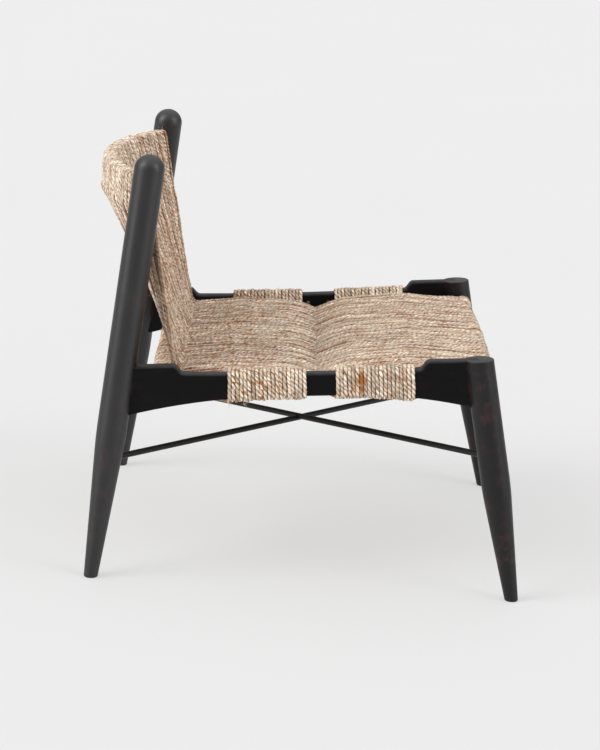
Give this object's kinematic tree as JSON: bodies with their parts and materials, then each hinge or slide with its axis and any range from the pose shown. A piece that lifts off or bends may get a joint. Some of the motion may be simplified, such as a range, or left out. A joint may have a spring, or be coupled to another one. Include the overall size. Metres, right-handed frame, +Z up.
{
  "type": "rope lounge chair",
  "caption": "Low lounge chair with a turned black wooden frame, a woven rope seat and a curved rope back, braced by crossed metal rods.",
  "frame": {"origin": "on the floor, under the middle of the chair's outer box", "axes": "+Z up, -Y the side the sitter faces, +X to the right as seen from the front"},
  "size_m": [0.6976, 0.7382, 0.6971],
  "materials": {
    "black_wood": "satin black stain and lacquer over open grain",
    "beech_dowel": "raw",
    "black_rod": "semi-gloss black paint",
    "tack_steel": "dull",
    "natural_rope": "rough natural jute rope, twisted"
  },
  "bodies": {
    "root": {"back_lower_rail": "black_wood", "back_rope_front": "natural_rope", "back_rope_rear": "natural_rope", "back_rope_turns": "natural_rope", "back_top_rail": "black_wood", "front_leg_dowels": "beech_dowel", "front_leg_left": "black_wood", "front_leg_right": "black_wood", "front_rail_dowels": "beech_dowel", "front_rope_band": "natural_rope", "front_seat_rail": "black_wood", "rear_post_dowels": "beech_dowel", "rear_post_left": "black_wood", "rear_post_right": "black_wood", "rear_rail_dowels": "beech_dowel", "rear_rope_band": "natural_rope", "rear_seat_rail": "black_wood", "rope_tacks": "tack_steel", "seat_rope": "natural_rope", "side_rail_left": "black_wood", "side_rail_right": "black_wood", "stretcher_rod_a": "black_rod", "stretcher_rod_b": "black_rod"}
  },
  "joints": []
}
